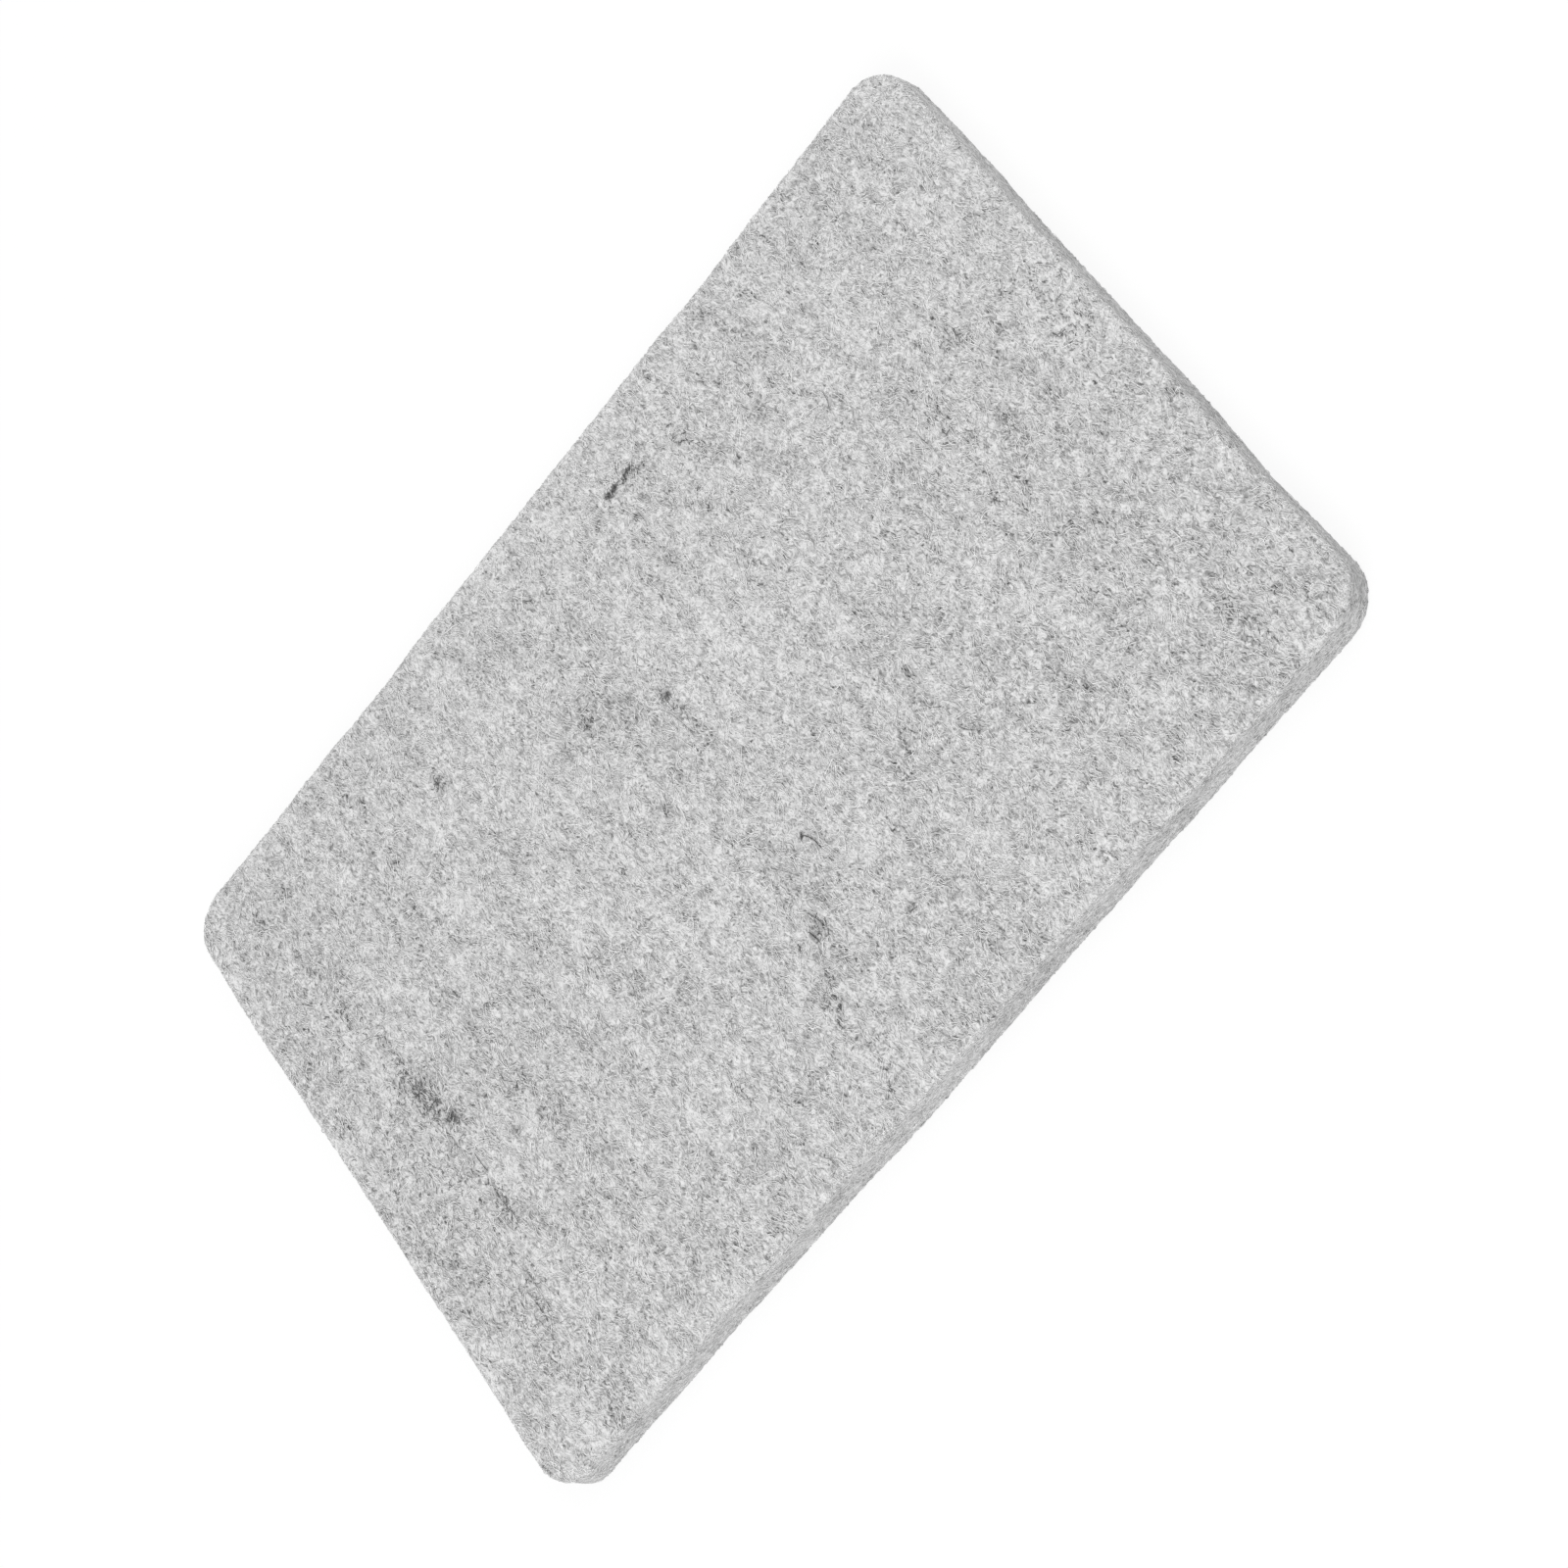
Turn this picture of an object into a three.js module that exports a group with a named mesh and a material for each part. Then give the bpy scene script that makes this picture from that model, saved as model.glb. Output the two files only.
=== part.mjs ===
// Flat ironing pad cut from one thickness of pressed wool felt, with rounded corners and soft rims.
// Millimetres, +Z up. The origin is the middle of the underside, and +X runs along the long side.
import * as THREE from 'three';

// Driving dimensions of the pad
const PAD_LENGTH = 210; // along X
const PAD_WIDTH = 140; // along Y
const PAD_THICKNESS = 6.5; // along Z
const CORNER_RADIUS = 8; // of the four corners, seen from above
const RIM_RADIUS = 0.6; // where the cut edge eases into the upper and lower faces

// How finely the round stretches are divided
const CORNER_DIVISIONS = 6;
const RIM_DIVISIONS = 3;

// Colour and finish of the felt
const FELT_GREY = 0xc4c4c4;
const FELT_ROUGHNESS = 0.95;
const FELT_METALNESS = 0;

const QUARTER_TURN = Math.PI / 2;

// Plan outline: a rectangle about the origin with a quarter circle at each corner, anticlockwise.
function roundedRectangle(length, width, radius) {
  const reachX = length / 2 - radius;
  const reachY = width / 2 - radius;
  const corners = [[1, 1], [-1, 1], [-1, -1], [1, -1]];
  const outline = new THREE.Shape();
  corners.forEach(([sideX, sideY], index) => {
    const start = index * QUARTER_TURN;
    outline.absarc(sideX * reachX, sideY * reachY, radius, start, start + QUARTER_TURN);
  });
  outline.closePath();
  return outline;
}

// The slab: the outline raised to the full thickness, with both rims rounded inside that outline.
function feltSlab() {
  const outline = roundedRectangle(PAD_LENGTH, PAD_WIDTH, CORNER_RADIUS);
  const slab = new THREE.ExtrudeGeometry(outline, {
    depth: PAD_THICKNESS - 2 * RIM_RADIUS,
    curveSegments: CORNER_DIVISIONS,
    bevelEnabled: true,
    bevelThickness: RIM_RADIUS,
    bevelSize: RIM_RADIUS,
    bevelOffset: -RIM_RADIUS,
    bevelSegments: RIM_DIVISIONS,
  });
  slab.translate(0, 0, RIM_RADIUS);
  return slab;
}

const felt = new THREE.MeshStandardMaterial({
  color: FELT_GREY,
  roughness: FELT_ROUGHNESS,
  metalness: FELT_METALNESS,
});

const feltPad = new THREE.Mesh(feltSlab(), felt);
feltPad.name = 'felt_pad';

const ironingPad = new THREE.Group();
ironingPad.name = 'ironing_pad';
ironingPad.add(feltPad);

export default ironingPad;
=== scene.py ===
# A light grey wool felt ironing pad on a white table: the matted slab, the loose wool on its faces and
# cut sides, the few dark hairs carded into it, and soft studio light.
import math

import bpy
import numpy as np
from mathutils import Matrix, Vector


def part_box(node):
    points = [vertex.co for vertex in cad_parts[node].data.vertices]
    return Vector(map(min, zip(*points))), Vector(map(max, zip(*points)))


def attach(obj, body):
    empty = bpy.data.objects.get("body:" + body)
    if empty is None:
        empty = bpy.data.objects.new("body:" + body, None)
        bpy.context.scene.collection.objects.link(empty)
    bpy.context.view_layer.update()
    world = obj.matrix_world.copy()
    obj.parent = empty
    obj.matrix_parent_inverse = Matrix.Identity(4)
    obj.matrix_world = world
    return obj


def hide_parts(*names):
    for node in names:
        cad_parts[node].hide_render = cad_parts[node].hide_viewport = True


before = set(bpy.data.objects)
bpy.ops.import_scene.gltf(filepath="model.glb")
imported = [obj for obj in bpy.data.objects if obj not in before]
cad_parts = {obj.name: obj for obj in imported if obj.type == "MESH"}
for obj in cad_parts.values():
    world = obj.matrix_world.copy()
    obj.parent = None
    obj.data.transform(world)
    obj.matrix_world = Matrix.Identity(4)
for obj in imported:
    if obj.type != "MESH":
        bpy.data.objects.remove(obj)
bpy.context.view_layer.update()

# Sizes of the slab, in millimetres: a mesh is written in metres, like the frame
MM = 0.001
low, high = (np.array(corner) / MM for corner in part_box("felt_pad"))
LENGTH, WIDTH, THICKNESS = high - low
HALF = np.array([LENGTH, WIDTH]) / 2
CORNER_RADIUS = 8.0
RIM_RADIUS = 0.6
FACE_CORNER = CORNER_RADIUS - RIM_RADIUS
CORE = HALF - CORNER_RADIUS
RIM_ARC = RIM_RADIUS * math.pi / 2
HALF_WALL = THICKNESS / 2 - RIM_RADIUS

# Mesh of the slab: width of a cell on its faces, and rows of cells in a corner, a rim and half the side
CELL = 0.85
CORNER_CELLS = 8
RIM_STEPS = 4
WALL_STEPS = 4

# Flat map of each piece: gaps between the parts of the slab, strips that its side is cut into, and the
# margin round each strand in its cell
MAP_GAP = 1.0
MAP_STRIPS = 3
STRAND_MARGIN = 0.1

# Unevenness of the felt: how far its skin moves, and the shortest and longest of its waves
WAVES = 40
WANDER = 0.20
WANDER_WAVES = (25.0, 110.0)
SWELL = 0.09
SWELL_WAVES = (18.0, 60.0)
LUMP = 0.06
LUMP_WAVES = (4.0, 10.0)
NAP = 0.055
NAP_WAVES = (1.7, 3.2)
NAP_SQUASH = (1.0, 0.45, 1.0)
WEB = 0.025
WEB_WAVES = (1.0, 2.6)
WEB_SQUASH = (0.1, 0.1, 1.0)

# The share of the faces' unevenness that the cut side keeps, how far the underside clears the table, and
# the share of unevenness that stays where it would come lower
CUT_CALM = 0.12
UNDER_LIFT = 0.25
UNDER_CALM = 0.5

# A painted highlight along the rims, a paler line: how far inside the edge of the face it lies, and its
# breadth
RIM_HIGHLIGHT_INSET = 0.4
RIM_HIGHLIGHT_BREADTH = 1.3

# Wool fibres lie every way, but more of them across the pad than along it: their heading, how far it is
# combed to and fro, and the patches in which they lie thicker
FIBRE_HEADING = math.radians(98)
COMB = 0.36
COMB_WAVES = (5.0, 16.0)
PATCH_WAVES = (4.0, 14.0)
PATCH_BLUR = 2.2

# Strands: sides, least height over the table, how deep their ends sink, and how full their arch is
STRAND_SIDES = 3
STRAND_FLOOR = 0.1
STRAND_SINK = -0.12
STRAND_ARCH = 0.7

# Sways along a strand, then its curl in radians: spread of its heading, spread of its turn from end to
# end, and least and most sway
SWAY_CYCLES = (0.5, 1.4)
FACE_CURL = {"spread": 0.4, "bend": 0.75, "sway": (0.1, 0.55)}
SIDE_CURL = {"bend": 0.35, "sway": (0.05, 0.35)}
DARK_CURL = {"spread": 0.9, "bend": 1.2, "sway": (0.2, 0.9)}

# How stained the upper face may be where a loose strand lies, between a strict and a lenient limit
STAIN_LIMITS = (0.15, 1.4)

# Bands round the pad, as distances past the flat face: the cut side down to its middle, and the rim
WALL_BAND = (0.2, RIM_ARC + HALF_WALL)
RIM_BAND = (-0.3, RIM_ARC)

# Dark wool: the short curls of the tangles, then the single hairs
DARK_SEED = 31
DARK_POINTS = 7
CURLS_PER_AREA = 4.0
DARK_LENGTHS = (0.6, 1.9)
DARK_SCATTER = 0.25
DARK_LIFTS = (0.1, 0.3)
DARK_RADII = (0.04, 0.07)
HAIR_LIFT = 0.32
HAIR_ENDS = 0.1

# Tangles of dark wool carded into the pale: middle x and y, length, breadth, heading in degrees, strength
DARK_TANGLES = (
    (15.5, 56.7, 1.7, 1.3, 157, 1.7),
    (17.3, 56.7, 2.0, 1.1, 18, 1.2),
    (20.1, 56.3, 1.4, 1.0, 25, 1.0),
    (21.6, 56.8, 2.4, 1.2, 23, 0.8),
    (23.0, 55.4, 2.6, 2.0, 5, 0.25),
    (18.7, 56.6, 7, 1.2, 10, 0.15),
    (14.7, 55.1, 1.8, 0.5, 50, 0.6),
    (25.8, 58.2, 1.6, 1.4, 0, 0.35),
    (30.1, 42.2, 1.1, 0.9, 90, 0.6),
    (27.3, 41.0, 0.9, 0.8, 90, 0.6),
    (29.1, 37.9, 1.3, 0.7, 60, 0.7),
    (34, 50, 15, 4.5, 105, 0.13),
    (-83.5, 7.5, 16, 5.5, 99, 0.13),
    (-82.8, 3, 9, 3.5, 101, 0.17),
    (-80.9, -2.4, 5.5, 1.8, 102, 0.6),
    (-84.5, 4, 22, 9, 92, 0.08),
    (-82.5, -23, 10, 3.5, 88, 0.24),
    (-87.8, -19.0, 1.6, 0.8, 109, 0.5),
    (-86.8, -40, 22, 3, 84, 0.08),
    (-86, -65, 12, 12, 90, 0.07),
    (-92, -5, 130, 30, 90, 0.02),
    (-66, -10, 28, 6, 95, 0.07),
    (-87, 31, 5, 4, 70, 0.2),
    (5.2, -19.9, 1.2, 0.8, 100, 0.9),
    (-2.7, -30.6, 0.9, 0.7, 100, 0.7),
    (-7.6, -33.9, 1.2, 1.0, 106, 0.8),
    (-2.6, -34.5, 5, 4, 80, 0.2),
    (-7.9, -47.7, 1.2, 0.8, 135, 1.3),
    (-8, -45, 13, 6, 82, 0.09),
    (-9.3, -65, 1.3, 1.2, 90, 0.6),
    (1.2, 19.7, 2.0, 1.6, 43, 1.1),
    (2.7, 15.6, 1.6, 0.7, 117, 0.6),
    (8.3, 11.7, 1.6, 0.6, 153, 0.5),
    (1.5, 15, 13, 2.6, 97, 0.08),
    (-14.3, 29.5, 5, 3.0, 88, 0.22),
    (-13, 25, 14, 6, 85, 0.05),
    (-44.7, 46, 5, 1.8, 85, 0.3),
    (-12, 4.7, 2.2, 1.5, 90, 0.4),
    (12.5, 28.6, 1.2, 1.0, 90, 0.5),
    (12.8, -45, 3.2, 1.2, 5, 0.35),
    (82, 20.5, 6, 4, 115, 0.18),
    (70, 14, 20, 4, 95, 0.12),
    (88, -55, 22, 14, 80, 0.04),
    (99, 4, 34, 14, 90, 0.05),
    (69, -6.5, 2.6, 1.8, 90, 0.25),
    (-32, -44, 9, 1.6, 98, 0.18),
    (-63, 7, 2.4, 2, 90, 0.3),
    (-36, -15, 5, 4, 90, 0.12),
)

# Single dark hairs: middle x and y, length, heading in degrees, turn from end to end in degrees, radius
DARK_HAIRS = (
    (-81.4, -13.3, 5.2, 93, -4, 0.08),
    (6.1, -22.3, 5.6, 105, 45, 0.11),
    (-2.0, -33.0, 5.2, 106, 18, 0.09),
    (-4.2, -34.9, 3.6, 102, 20, 0.13),
    (-1.3, -22.0, 8.2, 120, 8, 0.045),
    (0.4, 13.5, 9.0, 97, 18, 0.05),
    (-82, -22, 9, 95, -10, 0.045),
    (-85.5, -40, 11, 88, 8, 0.045),
    (40, -31, 4, 120, -40, 0.06),
    (58, 33, 5, 75, 35, 0.06),
)

# The middle of the values of a noise
NOISE_MIDDLE = 0.5

# Lines in the felt's colour: how fine their curl is and how far it pushes them aside, their stretch along
# the fibres, the step from one heading's pattern to the next, and how they are broken into lengths
CURL_SIZE = 2.2
CURL_DETAIL = 2.5
CURL_REACH = 2.2
LINE_STRETCH = 2.5
LINE_STEP = 17.0
BREAK_SPACINGS = 1.5
BREAK_OFFSET = 7.0
BREAK_RAMP = (0.4, 0.6)
MAT_TURNS = (-1.1, -0.7, -0.3, 0.05, 0.35, 0.75, 1.15)
MAT_LINES = {"turns": MAT_TURNS, "spacing": 1.3, "thinness": 22.0, "offset": 3.0}
# Dark lines of painted shade in the gaps between the fibres
GAP_SHADE_TURNS = (-0.4, -0.05, 0.25, 0.6)
GAP_SHADE_LINES = {"turns": GAP_SHADE_TURNS, "spacing": 1.0, "thinness": 12.0, "offset": 211.0}

# Noise in the felt's colour, from the finest to the broadest
GRAIN_HEADING = FIBRE_HEADING + 0.12
GRAIN = {"size": 0.25, "detail": 1.0, "stretch": 5.5, "turn": GRAIN_HEADING}
SPECK = {"size": 0.33, "detail": 1.0, "stretch": 6.0, "turn": GRAIN_HEADING, "offset": 53.0}
TUFT = {"size": 0.8, "detail": 2.0, "stretch": 3.4, "turn": FIBRE_HEADING}
CLUMP = {"size": 2.8, "detail": 1.0, "stretch": 2.0, "turn": FIBRE_HEADING, "offset": 91.0}
CLOUD = {"size": 7.0, "detail": 2.0, "stretch": 3.0, "turn": FIBRE_HEADING}
DRIFT = {"size": 30.0, "detail": 1.0, "stretch": 2.6, "turn": FIBRE_HEADING}

# Painted shade in the hollows of the mat: the strongest specks where the clumps are sparse
HOLLOW_SHADE_RAMP = (0.5, 0.7)
SPARSE_RAMP = (0.6, 0.36)

# How much each layer adds to the felt's paleness, and the value of the layer that changes nothing
FELT_MIX = {
    "mat": (0.27, 0.35),
    # Painted shade in the gaps between the fibres
    "gap_shade": (-0.21, 0.2),
    "grain": (0.71, NOISE_MIDDLE),
    # Painted shade in the hollows of the mat
    "hollow_shade": (-0.29, 0.13),
    "tuft": (0.16, NOISE_MIDDLE),
    "clump": (0.13, NOISE_MIDDLE),
    "cloud": (0.26, NOISE_MIDDLE),
    "drift": (0.12, NOISE_MIDDLE),
}
PALENESS = 0.51
PALEST = 0.73
PALEST_EASE = 0.22
DARKEST = 0.05

# What the cut side, the rim and the stains change in that paleness: painted shade on the cut side, and a
# painted highlight along the rim
CUT_SMOOTHING = 0.15
# Painted shade: the cut side is made a little darker
CUT_PAINTED_SHADE = 0.02
# Painted highlight: the faces are made paler along the rims
RIM_PAINTED_HIGHLIGHT = 0.03
STAIN_DEPTH = 0.1
STAIN_IN_TUFTS = 0.6

# Relief of the felt that is too fine for its mesh
BUMP_GRAIN = 0.5
BUMP_STRENGTH = 0.55
BUMP_HEIGHT = 0.22

# Fading along a strand, and the share of its own shade in its paleness
FADE_SIZE = 0.8
FADE_RAMP = (0.35, 0.6)
SHADE_SHARE = 0.5

# Finish of the matted wool and of the loose strands
FELT_FINISH = {
    "Roughness": 0.95,
    "Specular IOR Level": 0.2,
    "Sheen Weight": 0.3,
    "Sheen Roughness": 0.6,
}
STRAND_FINISH = {
    "Roughness": 0.85,
    "Specular IOR Level": 0.25,
    "Sheen Weight": 0.15,
    "Sheen Roughness": 0.5,
}

# Table, in metres: how pale it is as a reflector and to the eye, the share of plain white in what is seen
# near the pad, how far off it has mostly become all white, and how far it reaches
TABLE_BOUNCE = 0.6
TABLE_SEEN = 0.95
TABLE_WHITE = 0.85
TABLE_FADE = 0.35
TABLE_REACH = 6.0

# Strength of the white surroundings as a light: to the eye they are at 1, plain white
WHITE = (1, 1, 1, 1)
WORLD_LIGHT = 0.68

# Camera: places in metres, lens and sensor in millimetres
CAMERA_PLACE = Vector((0.2448, -0.3769, 0.5680))
CAMERA_AIM = Vector((0.0084, -0.0107, 0.0065))
CAMERA_ROLL = math.radians(-76.96)
LENS = 96.84
SENSOR = 36.0

# Least length that anything is divided by
TINY = 1e-9


# Smooth slab and felt surface


def wave_field(seed, wavelengths, squash=(1.0, 1.0, 1.0)):
    """A smooth random height of unit spread: plane waves between two wavelengths, summed."""
    draw = np.random.default_rng(seed)
    heading = draw.normal(size=(WAVES, 3))
    heading /= np.linalg.norm(heading, axis=1, keepdims=True)
    shortest, longest = np.log(wavelengths)
    wavelength = np.exp(draw.uniform(shortest, longest, WAVES))
    wave = 2 * np.pi * heading * np.array(squash) / wavelength[:, None]
    phase = draw.uniform(0, 2 * np.pi, WAVES)
    return lambda place: np.sin(place @ wave.T + phase).sum(-1) * math.sqrt(2 / WAVES)


wander_x = wave_field(seed=11, wavelengths=WANDER_WAVES)
wander_y = wave_field(seed=12, wavelengths=WANDER_WAVES)
swell = wave_field(seed=13, wavelengths=SWELL_WAVES)
lump = wave_field(seed=14, wavelengths=LUMP_WAVES)
nap = wave_field(seed=15, wavelengths=NAP_WAVES, squash=NAP_SQUASH)
web = wave_field(seed=16, wavelengths=WEB_WAVES, squash=WEB_SQUASH)
patch = wave_field(seed=17, wavelengths=PATCH_WAVES)
comb = wave_field(seed=18, wavelengths=COMB_WAVES)


def past_face(flat):
    """For points of a flat sheet: nearest point of the core, distance past the face, and the way out."""
    nearest = np.clip(flat, -CORE, CORE)
    away = flat - nearest
    reach = np.linalg.norm(away, axis=-1, keepdims=True)
    return nearest, reach - FACE_CORNER, away / np.maximum(reach, TINY)


def drape(flat):
    """A flat sheet laid over the slab, round its rim and down its side: places and outward directions."""
    nearest, beyond, out = past_face(flat)
    bend = np.clip(beyond / RIM_RADIUS, 0, math.pi / 2)
    drop = np.maximum(beyond - RIM_ARC, 0)
    on_side = nearest + out * (FACE_CORNER + RIM_RADIUS * np.sin(bend))
    level = np.where(beyond > 0, on_side, flat)
    height = THICKNESS - RIM_RADIUS * (1 - np.cos(bend)) - drop
    place = np.concatenate([level, height], -1)
    facing = np.concatenate([out * np.sin(bend), np.cos(bend)], -1)
    return place, facing


def turned_under(place, facing):
    """The same places on the lower half of the slab."""
    mirror = np.array([1, 1, -1])
    return place * mirror + np.array([0, 0, THICKNESS]), facing * mirror


def felted(place, facing):
    """Places on the smooth slab moved to the uneven skin of the felt."""
    drift = np.stack([wander_x(place), wander_y(place), np.zeros(place.shape[:-1])], -1)
    level = facing[..., 2] ** 2
    rise = SWELL * swell(place) + LUMP * lump(place) + NAP * nap(place)
    rise = rise * (CUT_CALM + (1 - CUT_CALM) * level) + WEB * web(place) * (1 - level)
    moved = place + WANDER * drift + facing * rise[..., None]
    moved[..., 2] = np.maximum(moved[..., 2], UNDER_LIFT + rise * UNDER_CALM)
    return moved


def stations(half, core):
    """Grid lines along one axis of the upper face, with the corner blocks on lines of their own."""
    inner = np.linspace(-core, core, round(2 * core / CELL) + 1)
    outer = np.linspace(core, half - RIM_RADIUS, CORNER_CELLS + 1)[1:]
    return np.concatenate([-outer[::-1], inner, outer])


def face_grid():
    """The flat upper face as a grid whose corner blocks are pressed into quarter discs."""
    along, across = np.meshgrid(*(stations(h, c) for h, c in zip(HALF, CORE)), indexing="ij")
    square = np.stack([along, across], -1)
    share = np.maximum(np.abs(square) - CORE, 0) / FACE_CORNER
    pressed = share * np.sqrt(1 - share[..., ::-1] ** 2 / 2)
    return np.sign(square) * (np.minimum(np.abs(square), CORE) + FACE_CORNER * pressed)


def edge_loop(columns, rows):
    """Grid indices round the edge of the face, anticlockwise."""
    index = np.arange(columns * rows).reshape(columns, rows)
    return np.concatenate([index[:-1, 0], index[-1, :-1], index[:0:-1, -1], index[0, :0:-1]])


# Materials


class Nodes:
    """The node tree of a material or world, with the calls that build it up."""

    def __init__(self, owner):
        owner.use_nodes = True
        self.tree = owner.node_tree
        self.tree.nodes.clear()

    def put(self, kind, inputs=None, **settings):
        """Adds a node. Inputs are other nodes' outputs or plain values, by name or number."""
        node = self.tree.nodes.new(kind)
        for name, value in settings.items():
            setattr(node, name, value)
        for name, value in (inputs or {}).items():
            if isinstance(value, bpy.types.NodeSocket):
                self.tree.links.new(value, node.inputs[name])
            else:
                node.inputs[name].default_value = value
        return node

    def maths(self, operation, *values):
        """One sum on numbers."""
        return self.put("ShaderNodeMath", dict(enumerate(values)), operation=operation).outputs[0]

    def vectors(self, operation, inputs):
        """One sum on vectors."""
        return self.put("ShaderNodeVectorMath", inputs, operation=operation).outputs[0]

    def ramp(self, value, start, end):
        """0 up to the start, 1 from the end on, and even in between."""
        inputs = {"Value": value, "From Min": start, "From Max": end}
        return self.put("ShaderNodeMapRange", inputs).outputs[0]

    def stored(self, name):
        """A number that the mesh stores for each vertex."""
        return self.put("ShaderNodeAttribute", attribute_name=name).outputs["Fac"]

    def millimetres(self):
        """The place on the piece, in millimetres."""
        place = self.put("ShaderNodeTexCoord").outputs["Object"]
        return self.vectors("SCALE", {0: place, "Scale": 1 / MM})

    def noise(self, place, size, detail=1.0, stretch=1.0, turn=0.0, offset=0.0, output=0):
        """Noise with features of about the given size in millimetres, stretched along one heading."""
        mapping = {
            "Vector": place,
            "Location": (offset,) * 3,
            "Rotation": (0, 0, turn),
            "Scale": (size * stretch, size, size),
        }
        spot = self.put("ShaderNodeMapping", mapping, vector_type="TEXTURE").outputs[0]
        texture = {"Vector": spot, "Scale": 1.0, "Detail": detail}
        return self.put("ShaderNodeTexNoise", texture).outputs[output]

    def grey(self, level):
        """A neutral colour from one number."""
        channels = {"Red": level, "Green": level, "Blue": level}
        return self.put("ShaderNodeCombineColor", channels).outputs[0]

    def wool(self, level, finish):
        """A neutral surface of the given paleness and finish, as the material's output."""
        shader = self.put("ShaderNodeBsdfPrincipled", {"Base Color": self.grey(level), **finish})
        self.put("ShaderNodeOutputMaterial", {"Surface": shader.outputs[0]})

    def seen(self):
        """1 where the eye looks, also by a mirror or through glass, and 0 where only light bounces."""
        path = self.put("ShaderNodeLightPath").outputs
        seen = self.maths("MAXIMUM", path["Is Camera Ray"], path["Is Glossy Ray"])
        return self.maths("MAXIMUM", seen, path["Is Transmission Ray"])


def felt_material():
    """Matted wool: fine curled pale fibres with dark lines of painted shade in the gaps between them, over
    clouds of lighter and darker wool, with painted shade in hollows and on the cut side and a painted
    highlight along the rims.
    """
    material = bpy.data.materials.new("wool_felt")
    nodes = Nodes(material)
    place = nodes.millimetres()
    curl = nodes.noise(place, CURL_SIZE, CURL_DETAIL, output="Color")
    curl = nodes.vectors("SUBTRACT", {0: curl, 1: (NOISE_MIDDLE,) * 3})
    curl = nodes.vectors("SCALE", {0: curl, "Scale": CURL_REACH})
    curled = nodes.vectors("ADD", {0: place, 1: curl})

    def fibres(turns, spacing, thinness, offset):
        """Thin curled lines along several headings, broken into lengths, with the strongest showing."""
        strongest = 0.0
        for number, turn in enumerate(turns):
            step = offset + LINE_STEP * number
            field = nodes.noise(curled, spacing, 0.0, LINE_STRETCH, FIBRE_HEADING + turn, step)
            gap = nodes.maths("ABSOLUTE", nodes.maths("SUBTRACT", field, NOISE_MIDDLE))
            line = nodes.maths("SUBTRACT", 1.0, nodes.maths("MULTIPLY", gap, thinness))
            line = nodes.maths("MAXIMUM", line, 0.0)
            broken = nodes.noise(place, BREAK_SPACINGS * spacing, detail=0.0, offset=step + BREAK_OFFSET)
            shown = nodes.maths("MULTIPLY", line, nodes.ramp(broken, *BREAK_RAMP))
            strongest = nodes.maths("MAXIMUM", strongest, shown)
        return strongest

    grain = nodes.noise(curled, **GRAIN)
    speck = nodes.noise(curled, **SPECK)
    tuft = nodes.noise(place, **TUFT)
    clump = nodes.noise(place, **CLUMP)
    # Painted shade in the hollows of the mat, where the specks are strongest and the clumps sparse
    deep = nodes.ramp(speck, *HOLLOW_SHADE_RAMP)
    sparse = nodes.ramp(clump, *SPARSE_RAMP)
    layers = {
        "mat": fibres(**MAT_LINES),
        # Dark lines of painted shade in the gaps between the fibres
        "gap_shade": fibres(**GAP_SHADE_LINES),
        "grain": grain,
        "hollow_shade": nodes.maths("MULTIPLY", deep, sparse),
        "tuft": tuft,
        "clump": clump,
        "cloud": nodes.noise(place, **CLOUD),
        "drift": nodes.noise(place, **DRIFT),
    }
    level = 0.0
    for name, (weight, middle) in FELT_MIX.items():
        off = nodes.maths("SUBTRACT", layers[name], middle)
        level = nodes.maths("ADD", level, nodes.maths("MULTIPLY", off, weight))

    cut = nodes.stored("cut")
    smoothing = nodes.maths("SUBTRACT", 1.0, nodes.maths("MULTIPLY", cut, CUT_SMOOTHING))
    level = nodes.maths("ADD", nodes.maths("MULTIPLY", level, smoothing), PALENESS)
    level = nodes.maths("SMOOTH_MIN", level, PALEST, PALEST_EASE)
    # Painted highlight along the rims
    level = nodes.maths("ADD", level, nodes.maths("MULTIPLY", nodes.stored("rim"), RIM_PAINTED_HIGHLIGHT))
    # Painted shade on the cut side
    level = nodes.maths("SUBTRACT", level, nodes.maths("MULTIPLY", cut, CUT_PAINTED_SHADE))
    depth = nodes.maths("ADD", STAIN_DEPTH, nodes.maths("MULTIPLY", tuft, STAIN_IN_TUFTS))
    level = nodes.maths("SUBTRACT", level, nodes.maths("MULTIPLY", nodes.stored("stain"), depth))
    level = nodes.maths("MAXIMUM", level, DARKEST)

    height = nodes.maths("ADD", nodes.maths("MULTIPLY", grain, BUMP_GRAIN), tuft)
    relief = {"Height": height, "Strength": BUMP_STRENGTH, "Distance": BUMP_HEIGHT * MM}
    bump = nodes.put("ShaderNodeBump", relief).outputs[0]
    nodes.wool(level, {**FELT_FINISH, "Normal": bump})
    return material


def fibre_material(name, darkest, palest):
    """Loose wool: each strand has a shade of its own, uneven along its length."""
    material = bpy.data.materials.new(name)
    nodes = Nodes(material)
    faded = nodes.ramp(nodes.noise(nodes.millimetres(), FADE_SIZE), *FADE_RAMP)
    shade = nodes.maths("MULTIPLY", nodes.stored("shade"), SHADE_SHARE)
    share = nodes.maths("ADD", shade, nodes.maths("MULTIPLY", faded, 1 - SHADE_SHARE))
    level = nodes.put("ShaderNodeMapRange", {"Value": share, "To Min": darkest, "To Max": palest})
    nodes.wool(level.outputs[0], STRAND_FINISH)
    return material


# Meshes


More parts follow.
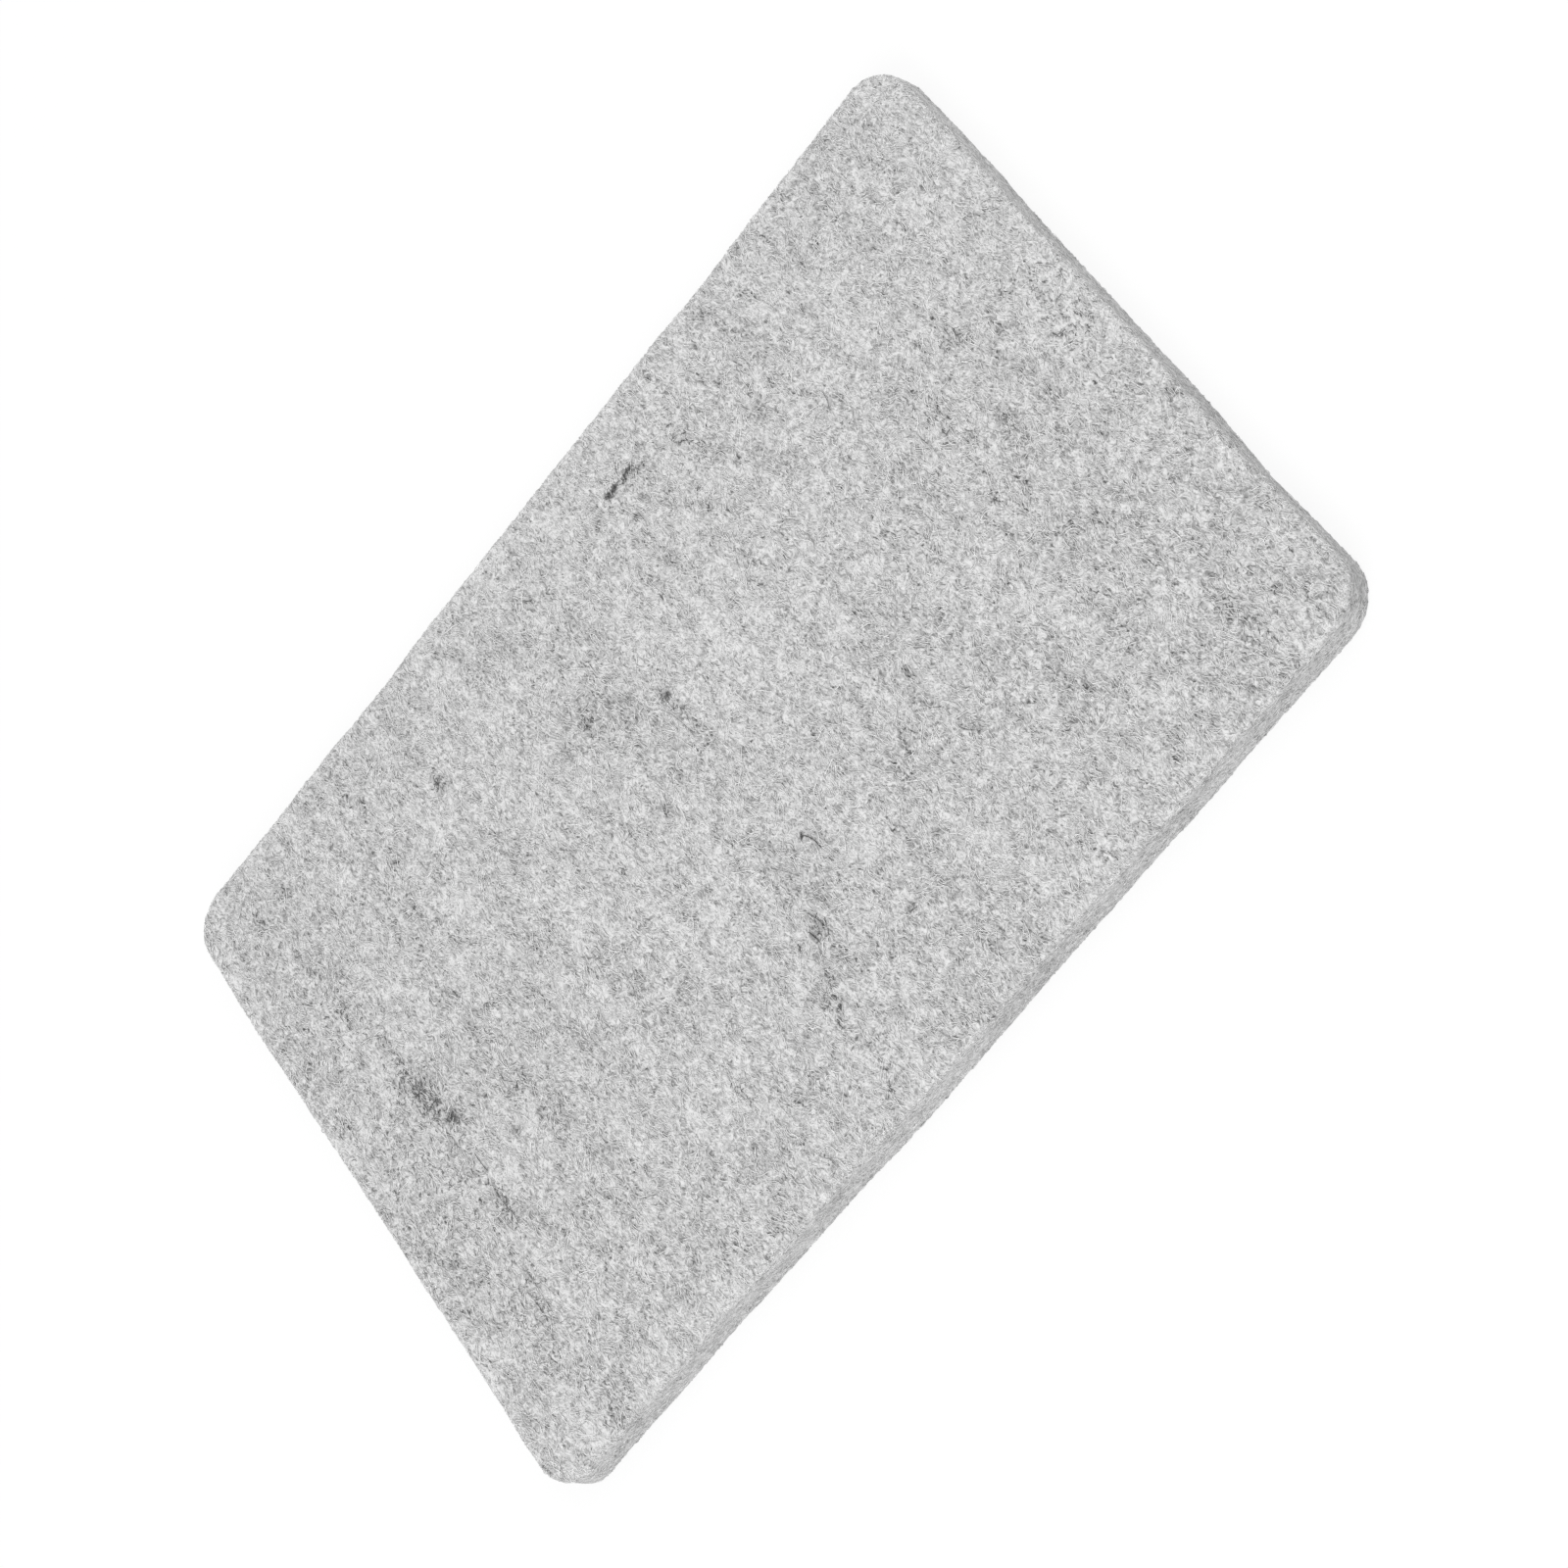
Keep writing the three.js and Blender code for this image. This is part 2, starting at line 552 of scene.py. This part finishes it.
def new_piece(name, places, faces, flat_map, material):
    """A closed mesh piece, in metres, that rides on the pad's one body, with its surface laid out flat."""
    mesh = bpy.data.meshes.new(name)
    mesh.from_pydata((places * MM).tolist(), [], faces)
    mesh.materials.append(material)
    mesh.polygons.foreach_set("use_smooth", np.ones(len(mesh.polygons), bool))
    mesh.uv_layers.new(name="OFBake").uv.foreach_set("vector", flat_map.astype(np.float32).ravel())
    piece = bpy.data.objects.new(name, mesh)
    bpy.context.scene.collection.objects.link(piece)
    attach(piece, "root")
    return piece


def point_values(piece, name, values):
    """Stores one number for each vertex, for the material to read."""
    layer = piece.data.attributes.new(name, "FLOAT", "POINT")
    layer.data.foreach_set("value", np.asarray(values, np.float32).ravel())


def stain_at(place):
    """How dark the carded-in hairs make the upper face at each place, from 0 to 1."""
    total = np.zeros(place.shape[:-1])
    for x, y, length, breadth, heading, strength in DARK_TANGLES:
        turn = math.radians(heading)
        dx = place[..., 0] - x
        dy = place[..., 1] - y
        along = (dx * math.cos(turn) + dy * math.sin(turn)) / (length / 2)
        across = (dy * math.cos(turn) - dx * math.sin(turn)) / (breadth / 2)
        total += strength * np.exp(-along**2 - across**2)
    return np.minimum(total, 1.0)


def slab_map(face, top, edge, depths):
    """The slab laid out flat: its faces one above the other, and its side in strips beside them."""
    stack = np.array([0, WIDTH + MAP_GAP])
    upper = (face + HALF)[top]
    outline = face[edge] + past_face(face[edge])[2] * RIM_RADIUS
    run = np.concatenate([[0], np.cumsum(np.linalg.norm(np.roll(outline, -1, 0) - outline, axis=1))])
    girth = 2 * depths[-1]
    strip = np.minimum(run[:-1] // (run[-1] / MAP_STRIPS), MAP_STRIPS - 1)
    start = strip * run[-1] / MAP_STRIPS
    left = LENGTH + MAP_GAP + strip * (girth + MAP_GAP)
    along = np.stack([run[:-1], run[1:], run[1:], run[:-1]], 1) - start[:, None]
    upper_side = []
    lower_side = []
    for shallow, deep in zip(depths, depths[1:]):
        across = np.array([deep, deep, shallow, shallow])
        upper_side.append(np.stack([left[:, None] + across, along], -1))
        lower_side.append(np.stack([left[:, None] + girth - across, along], -1))
    above = np.concatenate([upper, *upper_side])
    below = np.concatenate([upper + stack, *lower_side])
    laid_out = np.concatenate([above, below[:, ::-1]]) + MAP_GAP
    return laid_out / (2 * (WIDTH + MAP_GAP) + 2 * MAP_GAP)


def felt_body():
    """The slab: a grid on each face, joined by loops round the rims and the cut side."""
    grid = face_grid()
    columns, rows = grid.shape[:2]
    face = grid.reshape(-1, 2)
    edge = edge_loop(columns, rows)
    out = past_face(face[edge])[2]
    rim = np.linspace(0, RIM_ARC, RIM_STEPS + 1)[1:]
    wall = RIM_ARC + np.linspace(0, HALF_WALL, WALL_STEPS + 1)[1:]
    depths = (0, *rim, *wall)
    loops = [face[edge] + out * beyond for beyond in depths[1:]]
    sheet = np.concatenate([face, *loops])
    upper, upper_facing = drape(sheet)
    kept = len(sheet) - len(edge)
    lower, lower_facing = turned_under(upper[:kept], upper_facing[:kept])
    facing = np.concatenate([upper_facing, lower_facing])
    places = felted(np.concatenate([upper, lower]), facing)

    index = np.arange(columns * rows).reshape(columns, rows)
    corners = [index[:-1, :-1], index[1:, :-1], index[1:, 1:], index[:-1, 1:]]
    top = np.stack([corner.ravel() for corner in corners], 1)
    first_ring = len(face) + np.arange(len(edge))
    rings = [edge] + [first_ring + len(edge) * number for number in range(len(loops))]
    sides = [
        np.stack([down, np.roll(down, -1), np.roll(above, -1), above], 1)
        for above, down in zip(rings, rings[1:])
    ]
    upper_faces = np.concatenate([top, *sides])
    beneath = np.where(upper_faces < kept, upper_faces + len(sheet), upper_faces)
    faces = np.concatenate([upper_faces, beneath[:, ::-1]])
    flat_map = slab_map(face, top, edge, depths)
    piece = new_piece("felt_body", places, faces.tolist(), flat_map, felt_material())
    point_values(piece, "stain", stain_at(places) * (places[:, 2] > THICKNESS / 2))
    point_values(piece, "cut", 1 - facing[:, 2] ** 2)
    beyond = past_face(sheet)[1][:, 0]
    # Painted highlight: a paler band just inside the rim of each face
    rim_highlight = np.exp(-(((beyond + RIM_HIGHLIGHT_INSET) / RIM_HIGHLIGHT_BREADTH) ** 2))
    point_values(piece, "rim", np.concatenate([rim_highlight, rim_highlight[:kept]]))
    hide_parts("felt_pad")


def curly_lines(draw, count, points, lengths, heading, spread, bend, sway):
    """Flat curly lines about their own middles: each has a heading that turns steadily and sways."""
    length = draw.uniform(*lengths, count)[:, None]
    start = draw.normal(heading, spread, count)[:, None]
    turn = draw.normal(0, bend, count)[:, None]
    swing = draw.uniform(*sway, count)[:, None]
    cycles = draw.uniform(*SWAY_CYCLES, count)[:, None]
    phase = draw.uniform(0, 2 * np.pi, count)[:, None]
    middle = (np.arange(points - 1) + 0.5) / (points - 1)
    angle = start + turn * (middle - 0.5) + swing * np.sin(2 * np.pi * cycles * middle + phase)
    step = np.stack([np.cos(angle), np.sin(angle)], -1) * (length / (points - 1))[..., None]
    line = np.concatenate([np.zeros((count, 1, 2)), np.cumsum(step, 1)], 1)
    return line - line.mean(1, keepdims=True)


def strands(name, lines, facing, radius, shade, material):
    """Closed strands with a few sides along the lines, drawn out to a point at both ends."""
    count, points = lines.shape[:2]
    tangent = np.gradient(lines, axis=1)
    side = np.cross(tangent, facing)
    side /= np.maximum(np.linalg.norm(side, axis=-1, keepdims=True), TINY)
    rise = np.cross(side, tangent)
    rise /= np.maximum(np.linalg.norm(rise, axis=-1, keepdims=True), TINY)
    inner = slice(1, points - 1)
    spokes = []
    for corner in range(STRAND_SIDES):
        angle = math.pi / 2 + corner * 2 * math.pi / STRAND_SIDES
        spoke = math.cos(angle) * side[:, inner] + math.sin(angle) * rise[:, inner]
        spokes.append(lines[:, inner] + radius[:, None, None] * spoke)
    rings = np.stack(spokes, 2).reshape(count, -1, 3)
    places = np.concatenate([rings, lines[:, :1], lines[:, -1:]], 1)

    first_tip = STRAND_SIDES * (points - 2)
    ring = np.arange(first_tip).reshape(points - 2, STRAND_SIDES)
    pattern = []
    spots = []
    for corner in range(STRAND_SIDES):
        beside = (corner + 1) % STRAND_SIDES
        pattern.append([first_tip, ring[0, corner], ring[0, beside]])
        spots += [(0, corner + 0.5), (1, corner), (1, corner + 1)]
        for row in range(points - 3):
            near, far = ring[row : row + 2]
            pattern.append([near[corner], far[corner], far[beside], near[beside]])
            spots += [(row + 1, corner), (row + 2, corner), (row + 2, corner + 1), (row + 1, corner + 1)]
        pattern.append([ring[-1, corner], first_tip + 1, ring[-1, beside]])
        spots += [(points - 2, corner), (points - 1, corner + 0.5), (points - 2, corner + 1)]
    per_strand = places.shape[1]
    faces = [
        [int(corner) + start for corner in face]
        for start in range(0, count * per_strand, per_strand)
        for face in pattern
    ]
    cells = math.ceil(math.sqrt(count))
    cell = np.stack(np.divmod(np.arange(count), cells), -1)[:, None]
    spot = STRAND_MARGIN + (1 - 2 * STRAND_MARGIN) * np.array(spots) / (points - 1, STRAND_SIDES)
    piece = new_piece(name, places.reshape(-1, 3), faces, (cell + spot) / cells, material)
    point_values(piece, "shade", np.repeat(shade, per_strand))


def laid(lines, lift, under, ends=STRAND_SINK):
    """Flat lines laid on the felt: middles up by the lift, and ends sunk in it or lying on it."""
    place, facing = drape(lines)
    if under:
        place, facing = turned_under(place, facing)
    arch = np.sin(np.pi * np.linspace(0, 1, lines.shape[1])) ** STRAND_ARCH
    height = ends + (lift[:, None] - ends) * arch
    place = felted(place, facing) + facing * height[..., None]
    place[..., 2] = np.maximum(place[..., 2], STRAND_FLOOR)
    return place, facing


def cut_off(lines):
    """Lines that reach past the rim of a face, drawn back until they end there, where the felt was cut."""
    _, beyond, out = past_face(lines)
    furthest = beyond.argmax(1)[:, None]
    excess = np.take_along_axis(beyond, furthest, 1) - RIM_RADIUS / 2
    return lines - np.take_along_axis(out, furthest, 1) * np.maximum(excess, 0)


def at_zero(flat):
    """Flat points as places at height zero."""
    return np.pad(flat, ((0, 0), (0, 1)))


def face_fibres(name, material, seed, count, points, lengths, radii, lifts, under=False):
    """Loose curly wool over one whole face, thicker in patches, and thinner where the face is stained."""
    draw = np.random.default_rng(seed)
    middle = draw.uniform(-1, 1, (2 * count, 2)) * (HALF - RIM_RADIUS)
    thick = patch(at_zero(middle)) + draw.normal(0, PATCH_BLUR, 2 * count)
    middle = middle[np.argsort(thick)[count:]]
    if not under:
        middle = middle[stain_at(middle) < draw.uniform(*STAIN_LIMITS, count)]
        count = len(middle)
    heading = FIBRE_HEADING + COMB * comb(at_zero(middle))
    line = curly_lines(draw, count, points, lengths, heading, **FACE_CURL)
    centre = np.clip(middle, -CORE, CORE)
    reach = np.linalg.norm(middle - centre, axis=1, keepdims=True)
    middle = centre + (middle - centre) * np.minimum(1, CORNER_RADIUS / np.maximum(reach, TINY))
    place, facing = laid(cut_off(middle[:, None] + line), draw.uniform(*lifts, count), under)
    strands(name, place, facing, draw.uniform(*radii, count), draw.uniform(0, 1, count), material)


def side_fibres(name, material, seed, count, points, lengths, radii, lifts, band, spread, under=False):
    """Wool within a band round the cut side, more or less in the run of the side."""
    draw = np.random.default_rng(seed)
    face = face_grid()
    edge = face.reshape(-1, 2)[edge_loop(*face.shape[:2])]
    edge = edge[draw.integers(0, len(edge), count)]
    out = past_face(edge)[2]
    along = np.stack([-out[:, 1], out[:, 0]], -1)
    line = curly_lines(draw, count, points, lengths, 0.0, spread, **SIDE_CURL)
    middle = edge + out * draw.uniform(*band, (count, 1))
    flat = middle[:, None] + along[:, None] * line[..., :1] + out[:, None] * line[..., 1:]
    place, facing = laid(flat, draw.uniform(*lifts, count), under)
    strands(name, place, facing, draw.uniform(*radii, count), draw.uniform(0, 1, count), material)


def dark_wool(material):
    """The dark tangles, short curls thrown over each other, and the single dark hairs."""
    draw = np.random.default_rng(DARK_SEED)
    flats = []
    for x, y, length, breadth, heading, strength in DARK_TANGLES:
        count = math.ceil(strength * length * breadth * CURLS_PER_AREA)
        turn = math.radians(heading)
        line = curly_lines(draw, count, DARK_POINTS, DARK_LENGTHS, turn, **DARK_CURL)
        off = draw.normal(0, DARK_SCATTER, (count, 2)) * np.array([length, breadth])
        turned = np.array([[math.cos(turn), math.sin(turn)], [-math.sin(turn), math.cos(turn)]])
        flats.append(np.array([x, y]) + (off @ turned)[:, None] + line)
    for x, y, length, heading, turn, _ in DARK_HAIRS:
        middle = np.linspace(-0.5, 0.5, DARK_POINTS - 1)
        angle = np.radians(heading + turn * middle)
        step = np.stack([np.cos(angle), np.sin(angle)], -1) * length / (DARK_POINTS - 1)
        line = np.concatenate([np.zeros((1, 2)), np.cumsum(step, 0)])
        flats.append((np.array([x, y]) + line - line.mean(0))[None])
    flat = np.concatenate(flats)
    flat = flat[past_face(flat)[1].max((1, 2)) < RIM_RADIUS]
    count = len(flat)
    lift = draw.uniform(*DARK_LIFTS, count)
    radius = draw.uniform(*DARK_RADII, count)
    shade = draw.uniform(0, 1, count)
    ends = np.full((count, 1), STRAND_SINK)
    hairs = slice(count - len(DARK_HAIRS), count)
    lift[hairs] = HAIR_LIFT
    radius[hairs] = [hair[-1] for hair in DARK_HAIRS]
    shade[hairs] = 0
    ends[hairs] = HAIR_ENDS
    place, facing = laid(flat, lift, False, ends)
    strands("dark_wool", place, facing, radius, shade, material)


# Table, light and camera


def white_table():
    """A wide white table top that keeps a soft shadow of the pad."""
    corners = ((-1, -1), (1, -1), (1, 1), (-1, 1))
    mesh = bpy.data.meshes.new("table")
    mesh.from_pydata([(TABLE_REACH * x, TABLE_REACH * y, 0) for x, y in corners], [], [(0, 1, 2, 3)])
    material = bpy.data.materials.new("white_table")
    nodes = Nodes(material)
    seen = nodes.seen()
    tone = nodes.maths("ADD", TABLE_BOUNCE, nodes.maths("MULTIPLY", seen, TABLE_SEEN - TABLE_BOUNCE))
    matte = nodes.put("ShaderNodeBsdfDiffuse", {"Color": nodes.grey(tone)})
    glow = nodes.put("ShaderNodeEmission", {"Color": WHITE, "Strength": 1.0})
    place = nodes.put("ShaderNodeTexCoord").outputs["Object"]
    off = nodes.put("ShaderNodeVectorMath", {0: place}, operation="LENGTH").outputs["Value"]
    fade = nodes.maths("POWER", nodes.maths("DIVIDE", off, TABLE_FADE), 2.0)
    near = nodes.maths("EXPONENT", nodes.maths("MULTIPLY", fade, -1.0))
    white = nodes.maths("SUBTRACT", 1.0, nodes.maths("MULTIPLY", near, 1 - TABLE_WHITE))
    share = nodes.maths("MULTIPLY", seen, white)
    both = nodes.put("ShaderNodeMixShader", {0: share, 1: matte.outputs[0], 2: glow.outputs[0]})
    nodes.put("ShaderNodeOutputMaterial", {"Surface": both.outputs[0]})
    mesh.materials.append(material)
    table = bpy.data.objects.new("table", mesh)
    bpy.context.scene.collection.objects.link(table)


def pale_surroundings():
    """White to the eye, and a little dimmer as a light."""
    world = bpy.data.worlds.new("studio")
    nodes = Nodes(world)
    strength = nodes.maths("ADD", WORLD_LIGHT, nodes.maths("MULTIPLY", nodes.seen(), 1 - WORLD_LIGHT))
    light = nodes.put("ShaderNodeBackground", {"Color": WHITE, "Strength": strength})
    nodes.put("ShaderNodeOutputWorld", {"Surface": light.outputs[0]})
    bpy.context.scene.world = world


def soft_lamp(name, place, size, power):
    """A square soft lamp, aimed at the pad."""
    lamp = bpy.data.lights.new(name, "AREA")
    lamp.size = size
    lamp.energy = power
    holder = bpy.data.objects.new(name, lamp)
    holder.location = place
    holder.rotation_euler = (-Vector(place)).to_track_quat("-Z", "Y").to_euler()
    bpy.context.scene.collection.objects.link(holder)


def photo_camera():
    """The camera of the photograph, turned so that the nearest corner points right."""
    lens = bpy.data.cameras.new("camera")
    lens.lens = LENS
    lens.sensor_width = SENSOR
    camera = bpy.data.objects.new("camera", lens)
    facing = (CAMERA_AIM - CAMERA_PLACE).to_track_quat("-Z", "Y").to_matrix().to_4x4()
    camera.matrix_world = Matrix.Translation(CAMERA_PLACE) @ facing @ Matrix.Rotation(CAMERA_ROLL, 4, "Z")
    bpy.context.scene.collection.objects.link(camera)
    bpy.context.scene.camera = camera


# The pad, in millimetres

pale_wool = fibre_material("pale_wool", darkest=0.58, palest=1.0)
grey_wool = fibre_material("grey_wool", darkest=0.25, palest=0.5)
side_wool = fibre_material("side_wool", darkest=0.42, palest=0.85)
felt_body()
face_fibres(
    "upper_fibres", pale_wool, seed=21, count=11000, points=5,
    lengths=(1.1, 3.2), radii=(0.055, 0.09), lifts=(0.04, 0.25),
)
face_fibres(
    "upper_curls", pale_wool, seed=26, count=6600, points=7,
    lengths=(2.2, 4.8), radii=(0.055, 0.09), lifts=(0.08, 0.3),
)
face_fibres(
    "upper_grey_fibres", grey_wool, seed=22, count=5000, points=5,
    lengths=(1.0, 3.0), radii=(0.04, 0.07), lifts=(0.0, 0.1),
)
face_fibres(
    "under_fibres", pale_wool, seed=23, count=9000, points=5,
    lengths=(1.2, 3.6), radii=(0.05, 0.085), lifts=(0.04, 0.15), under=True,
)
for name, seed, under in (("upper_side_fibres", 24, False), ("lower_side_fibres", 25, True)):
    side_fibres(
        name, side_wool, seed, count=3000, points=5, under=under,
        lengths=(1.5, 4.5), radii=(0.04, 0.07), lifts=(0.02, 0.12), band=WALL_BAND, spread=0.35,
    )
side_fibres(
    "upper_rim_fuzz", pale_wool, seed=27, count=2600, points=5,
    lengths=(0.8, 2.4), radii=(0.04, 0.07), lifts=(0.05, 0.22), band=RIM_BAND, spread=1.0,
)
side_fibres(
    "lower_rim_fuzz", side_wool, seed=28, count=1400, points=5,
    lengths=(0.8, 2.4), radii=(0.04, 0.07), lifts=(0.05, 0.18), band=RIM_BAND, spread=1.0, under=True,
)
dark_wool(fibre_material("dark_wool", darkest=0.02, palest=0.25))

# Its surroundings, in metres

white_table()
pale_surroundings()
soft_lamp("key", place=(-0.4, -0.9, 1.0), size=0.9, power=10.2)
soft_lamp("fill", place=(0.6, 0.35, 0.6), size=0.9, power=2.5)
photo_camera()
bpy.context.scene.view_settings.view_transform = "Standard"
